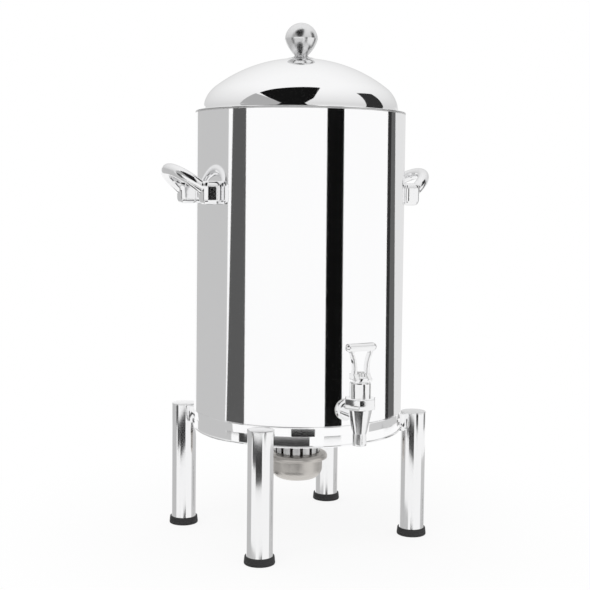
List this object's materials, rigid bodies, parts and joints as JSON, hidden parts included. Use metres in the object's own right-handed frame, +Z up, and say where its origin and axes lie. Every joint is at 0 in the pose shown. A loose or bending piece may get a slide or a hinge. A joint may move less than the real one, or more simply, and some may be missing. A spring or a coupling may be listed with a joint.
{
  "type": "coffee urn",
  "caption": "Polished steel coffee urn on tube legs, with a domed lift-off lid, side handles, a lever tap and a fuel burner cup under the base.",
  "frame": {"origin": "on the urn's axis at the height of the surface it stands on", "axes": "+Z up, -Y towards the tap, +X and -X towards the two side handles"},
  "size_m": [0.3712, 0.3263, 0.6585],
  "materials": {
    "mirror_steel": "mirror polished stainless steel",
    "satin_steel": "satin stainless steel",
    "cup_steel": "brushed warm grey stainless steel",
    "tube_chrome": "polished chrome tube",
    "cap_steel": "fine satin steel",
    "foot_rubber": "matt black rubber",
    "zinc_steel": "plain zinc plated fasteners",
    "cast_chrome": "chrome plated casting",
    "valve_steel": "turned stainless steel",
    "silicone": "food grade silicone"
  },
  "bodies": {
    "root": {"outer_jacket": "mirror_steel", "base_band": "mirror_steel", "inner_vessel": "satin_steel", "burner_deck": "satin_steel", "burner_collar": "satin_steel", "leg_front_left": "tube_chrome", "leg_front_right": "tube_chrome", "leg_back_right": "tube_chrome", "leg_back_left": "tube_chrome", "leg_cap_front_left": "cap_steel", "leg_cap_front_right": "cap_steel", "leg_cap_back_right": "cap_steel", "leg_cap_back_left": "cap_steel", "foot_front_left": "foot_rubber", "foot_front_right": "foot_rubber", "foot_back_right": "foot_rubber", "foot_back_left": "foot_rubber", "leg_saddle_front_left": "tube_chrome", "leg_saddle_front_right": "tube_chrome", "leg_saddle_back_right": "tube_chrome", "leg_saddle_back_left": "tube_chrome", "leg_bolts": "zinc_steel", "leg_nuts": "zinc_steel", "handle_screws": "zinc_steel", "handle_washers": "zinc_steel", "shank_locknut": "zinc_steel", "return_spring": "zinc_steel", "lever_pin": "zinc_steel", "handle_left": "cast_chrome", "handle_right": "cast_chrome", "tap_body": "cast_chrome", "tap_shank": "cast_chrome", "bonnet_nut": "cast_chrome", "bonnet": "cast_chrome", "tap_gasket": "silicone", "shank_seal": "silicone", "shank_spacer": "silicone"},
    "lid": {"lid_dome": "mirror_steel", "lid_ring": "satin_steel", "knob_flange": "cast_chrome", "lid_knob": "cast_chrome", "knob_screw": "zinc_steel", "knob_washer": "zinc_steel"},
    "burner": {"fuel_cup": "cup_steel", "cup_cover": "cup_steel"},
    "lever": {"tap_lever": "cast_chrome"},
    "valve": {"valve_stem": "valve_steel", "seat_cup": "silicone"}
  },
  "joints": [
    {"name": "lid_lift", "type": "slide", "parent": "root", "child": "lid", "axis": [0, 0, 1], "range_m": [0, 0.16]},
    {"name": "burner_drop", "type": "slide", "parent": "root", "child": "burner", "axis": [0, 0, -1], "range_m": [0, 0.045]},
    {"name": "lever_pull", "type": "hinge", "parent": "root", "child": "lever", "pos_m": [0, -0.18, 0.226], "axis": [1, 0, 0], "range_deg": [0, 25], "stiffness_Nm_per_rad": 0.15, "springref_deg": -28.65},
    {"name": "valve_lift", "type": "slide", "parent": "root", "child": "valve", "axis": [0, 0, 1], "range_m": [0, 0.006], "deforming": ["return_spring"]}
  ],
  "couplings": [
    {"joint": "valve_lift", "follows": "lever_pull", "m_per_rad": 0.013}
  ]
}
